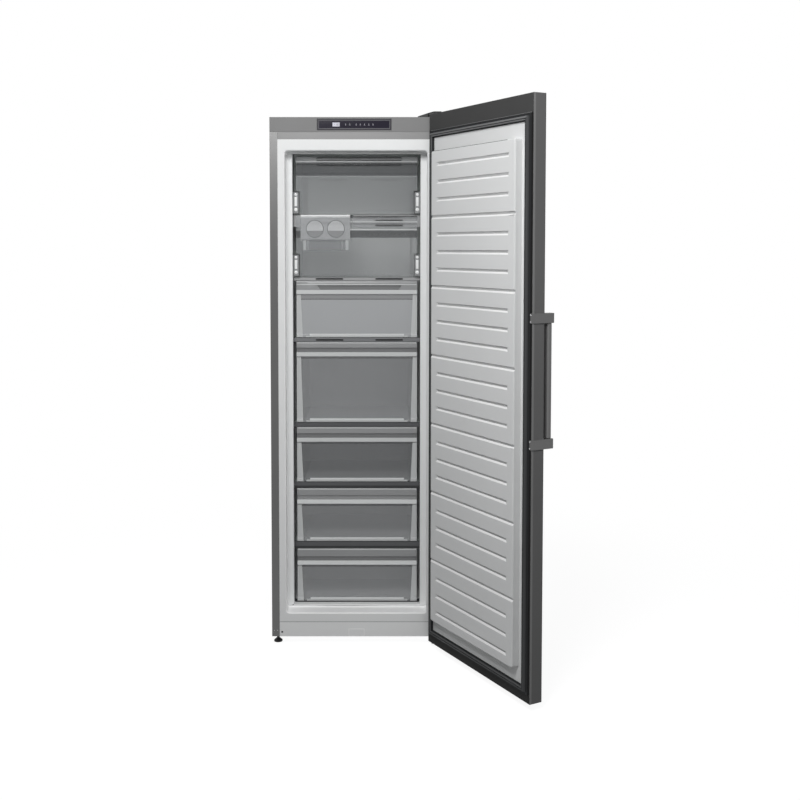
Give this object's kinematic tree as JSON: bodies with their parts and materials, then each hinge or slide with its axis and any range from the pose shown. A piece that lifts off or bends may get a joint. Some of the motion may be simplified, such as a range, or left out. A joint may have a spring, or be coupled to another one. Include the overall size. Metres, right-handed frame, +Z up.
{
  "type": "upright freezer",
  "caption": "Tall upright freezer, door open: foamed cabinet, two clear flaps, clear drawers on glass shelves, twist ice maker and bar handle.",
  "frame": {"origin": "on the floor under the middle of the cabinet's 595 x 590 mm footprint", "axes": "+Z up, the cabinet's front looks along -Y, +X to the right seen from the front, where the door hinges are"},
  "size_m": [0.9013, 1.1398, 1.863],
  "materials": {
    "case_steel": "grey coated steel, satin",
    "galvanised_steel": "zinc coated sheet",
    "liner_white": "white formed polystyrene",
    "foam": "rigid foam",
    "fascia_grey": "grey moulded plastic, satin",
    "landing_steel": "light grey coated steel",
    "plinth_white": "white coated steel",
    "bezel_grey": "mid grey plastic",
    "pane_dark": "near-black tinted pane",
    "board_green": "circuit board",
    "black_plastic": "black moulded plastic",
    "bright_steel": "zinc plated",
    "fin_aluminium": "bare fins",
    "black_paint": "black enamel",
    "rubber_black": "rubber",
    "shelf_glass": "toughened glass",
    "clear_plastic": "clear moulded polystyrene",
    "bin_plastic": "translucent white",
    "trim_plastic": "grey tinted rail",
    "bracket_plastic": "milky plastic",
    "ice_plastic": "pale grey plastic",
    "door_steel": "dark inox-look coated steel",
    "cap_grey": "dark grey plastic",
    "seal_grey": "soft grey vinyl",
    "handle_steel": "dark satin metal"
  },
  "bodies": {
    "cabinet": {"cabinet_wrap": "case_steel", "back_panel": "galvanised_steel", "base_pan": "galvanised_steel", "inner_liner": "liner_white", "cabinet_insulation": "foam", "top_fascia": "fascia_grey", "upper_crossrail": "landing_steel", "lower_crossrail": "plinth_white", "control_bezel": "bezel_grey", "control_window": "pane_dark", "control_board": "board_green", "top_hinge_bracket": "bright_steel", "top_hinge_cover": "black_plastic", "bottom_hinge_bracket": "bright_steel", "hinge_screws": "bright_steel", "air_duct_cover": "liner_white", "evaporator": "fin_aluminium", "fan_motor": "black_plastic", "compressor": "black_paint", "compressor_mounts": "rubber_black", "drip_tray": "black_plastic", "condenser": "black_paint", "rear_cover": "galvanised_steel", "power_gland": "black_plastic", "glass_shelves": "shelf_glass", "shelf_trims": "trim_plastic", "flap_brackets": "bracket_plastic", "ice_maker_housing": "ice_plastic", "ice_bin": "bin_plastic", "roller_brackets": "galvanised_steel"},
    "door": {"door_skin": "door_steel", "door_liner": "liner_white", "door_insulation": "foam", "door_gasket": "seal_grey", "door_top_cap": "cap_grey", "door_bottom_cap": "cap_grey", "door_hinge_bushes": "black_plastic", "handle_brackets": "handle_steel", "handle_bar": "handle_steel", "handle_screws": "bright_steel"},
    "upper_flap": {"flap_upper": "clear_plastic"},
    "lower_flap": {"flap_lower": "clear_plastic"},
    "left_ice_tray": {"ice_tray_left": "ice_plastic"},
    "right_ice_tray": {"ice_tray_right": "ice_plastic"},
    "fan": {"fan_rotor": "black_plastic"},
    "rollers": {"rear_rollers": "black_plastic"},
    "left_foot": {"front_foot_left": "black_plastic"},
    "right_foot": {"front_foot_right": "black_plastic"},
    "left_key": {"control_key_left": "pane_dark"},
    "right_key": {"control_key_right": "pane_dark"},
    "drawer_1": {"drawer_1_front": "clear_plastic", "drawer_1_bin": "bin_plastic"},
    "drawer_2": {"drawer_2_front": "clear_plastic", "drawer_2_bin": "bin_plastic"},
    "drawer_3": {"drawer_3_front": "clear_plastic", "drawer_3_bin": "bin_plastic"},
    "drawer_4": {"drawer_4_front": "clear_plastic", "drawer_4_bin": "bin_plastic"},
    "drawer_5": {"drawer_5_front": "clear_plastic", "drawer_5_bin": "bin_plastic"}
  },
  "joints": [
    {"name": "door_hinge", "type": "hinge", "parent": "cabinet", "child": "door", "pos_m": [0.2775, -0.3256, 0.94], "axis": [0, 0, 1], "range_deg": [-118.3, 1.7]},
    {"name": "upper_flap_hinge", "type": "hinge", "parent": "cabinet", "child": "upper_flap", "pos_m": [0, -0.2035, 1.5349], "axis": [1, 0, 0], "range_deg": [0, 90]},
    {"name": "lower_flap_hinge", "type": "hinge", "parent": "cabinet", "child": "lower_flap", "pos_m": [0, -0.2035, 1.3139], "axis": [1, 0, 0], "range_deg": [0, 90]},
    {"name": "drawer_1_slide", "type": "slide", "parent": "cabinet", "child": "drawer_1", "axis": [0, -1, 0], "range_m": [0, 0.3]},
    {"name": "drawer_2_slide", "type": "slide", "parent": "cabinet", "child": "drawer_2", "axis": [0, -1, 0], "range_m": [0, 0.3]},
    {"name": "drawer_3_slide", "type": "slide", "parent": "cabinet", "child": "drawer_3", "axis": [0, -1, 0], "range_m": [0, 0.3]},
    {"name": "drawer_4_slide", "type": "slide", "parent": "cabinet", "child": "drawer_4", "axis": [0, -1, 0], "range_m": [0, 0.3]},
    {"name": "drawer_5_slide", "type": "slide", "parent": "cabinet", "child": "drawer_5", "axis": [0, -1, 0], "range_m": [0, 0.18]},
    {"name": "left_ice_knob", "type": "hinge", "parent": "cabinet", "child": "left_ice_tray", "pos_m": [-0.14825, -0.199, 1.4674], "axis": [0, 1, 0], "range_deg": [0, 110]},
    {"name": "right_ice_knob", "type": "hinge", "parent": "cabinet", "child": "right_ice_tray", "pos_m": [-0.07375, -0.199, 1.4674], "axis": [0, 1, 0], "range_deg": [0, 110]},
    {"name": "fan_spin", "type": "hinge", "parent": "cabinet", "child": "fan", "pos_m": [0, 0.206, 0.8964], "axis": [0, 1, 0], "continuous": true},
    {"name": "roller_spin", "type": "hinge", "parent": "cabinet", "child": "rollers", "pos_m": [0, 0.262, 0.015], "axis": [1, 0, 0], "continuous": true},
    {"name": "left_foot_screw", "type": "hinge", "parent": "cabinet", "child": "left_foot", "pos_m": [-0.28, -0.25, 0], "axis": [0, 0, 1], "range_deg": [-360, 360]},
    {"name": "right_foot_screw", "type": "hinge", "parent": "cabinet", "child": "right_foot", "pos_m": [0.28, -0.25, 0], "axis": [0, 0, 1], "range_deg": [-360, 360]},
    {"name": "left_key_press", "type": "slide", "parent": "cabinet", "child": "left_key", "axis": [0, 1, 0], "range_m": [0, 0.0006], "stiffness_N_per_m": 400},
    {"name": "right_key_press", "type": "slide", "parent": "cabinet", "child": "right_key", "axis": [0, 1, 0], "range_m": [0, 0.0006], "stiffness_N_per_m": 400}
  ]
}
